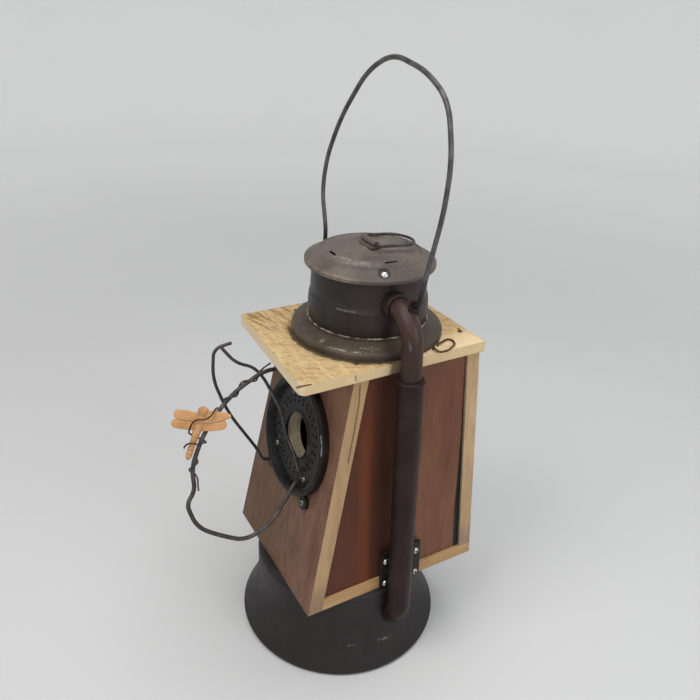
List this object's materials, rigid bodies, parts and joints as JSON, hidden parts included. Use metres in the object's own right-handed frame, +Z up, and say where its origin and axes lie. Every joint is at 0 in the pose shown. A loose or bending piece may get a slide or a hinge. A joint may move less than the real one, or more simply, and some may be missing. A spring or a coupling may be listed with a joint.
{
  "type": "birdhouse lantern",
  "caption": "Decorative birdhouse built into an old tubular barn lantern: slant-fronted wooden house on the font, lantern crown and lid above its roof, swinging wire bail and wire perch.",
  "frame": {"origin": "centre of the round foot, on the floor", "axes": "+Z up, -Y out of the entrance hole (the front), +X to the right for a viewer facing the front"},
  "size_m": [0.1722, 0.2225, 0.4488],
  "materials": {
    "lantern_paint": "dark brown-black worn semi-gloss paint",
    "lid_metal": "weathered grey-brown metal",
    "pine": "bare rough-sawn pine",
    "stained_front": "grey-brown stain, upright grain, bare edges",
    "stained_panel": "red-brown varnished stain",
    "plate_paint": "black enamel",
    "dark_wire": "dark oxidised iron wire",
    "screw_steel": "bright steel",
    "copper_wire": "dull copper wire",
    "dragonfly_wood": "orange-tan carved wood"
  },
  "bodies": {
    "lantern": {"font_shell": "lantern_paint", "font_bottom": "lantern_paint", "tube_right": "lantern_paint", "tube_left": "lantern_paint", "elbow_right": "lantern_paint", "elbow_left": "lantern_paint", "collar_right": "lantern_paint", "collar_left": "lantern_paint", "crown_shell": "lantern_paint", "bracket_right": "lantern_paint", "bracket_left": "lantern_paint", "lid": "lid_metal", "crown_flange": "lid_metal", "ring_knuckle": "lid_metal", "bail_ear_right": "lid_metal", "bail_ear_left": "lid_metal", "roof_board": "pine", "floor_board": "pine", "back_board": "pine", "front_board": "stained_front", "side_panel_right": "stained_panel", "side_panel_left": "stained_panel", "entrance_plate": "plate_paint", "lug_right": "plate_paint", "lug_left": "plate_paint", "guard_wire_left": "dark_wire", "guard_wire_right": "dark_wire", "perch_wire": "dark_wire", "binding_upper": "dark_wire", "binding_lower": "dark_wire", "dragonfly_tie": "dark_wire", "plate_screws": "screw_steel", "lug_screw": "screw_steel", "lid_screw": "screw_steel", "bracket_screws_right": "screw_steel", "bracket_screws_left": "screw_steel", "roof_nails": "screw_steel", "tie_wire": "copper_wire", "dragonfly": "dragonfly_wood"},
    "bail": {"bail": "dark_wire"},
    "lift_ring": {"lift_ring": "dark_wire"}
  },
  "joints": [
    {"name": "bail_swing", "type": "hinge", "parent": "lantern", "child": "bail", "pos_m": [0, 0.012, 0.3056], "axis": [1, 0, 0], "range_deg": [-120, 105]},
    {"name": "ring_flip", "type": "hinge", "parent": "lantern", "child": "lift_ring", "pos_m": [0.0065, 0.009, 0.33262], "axis": [1, 0, 0], "range_deg": [0, 170]}
  ]
}
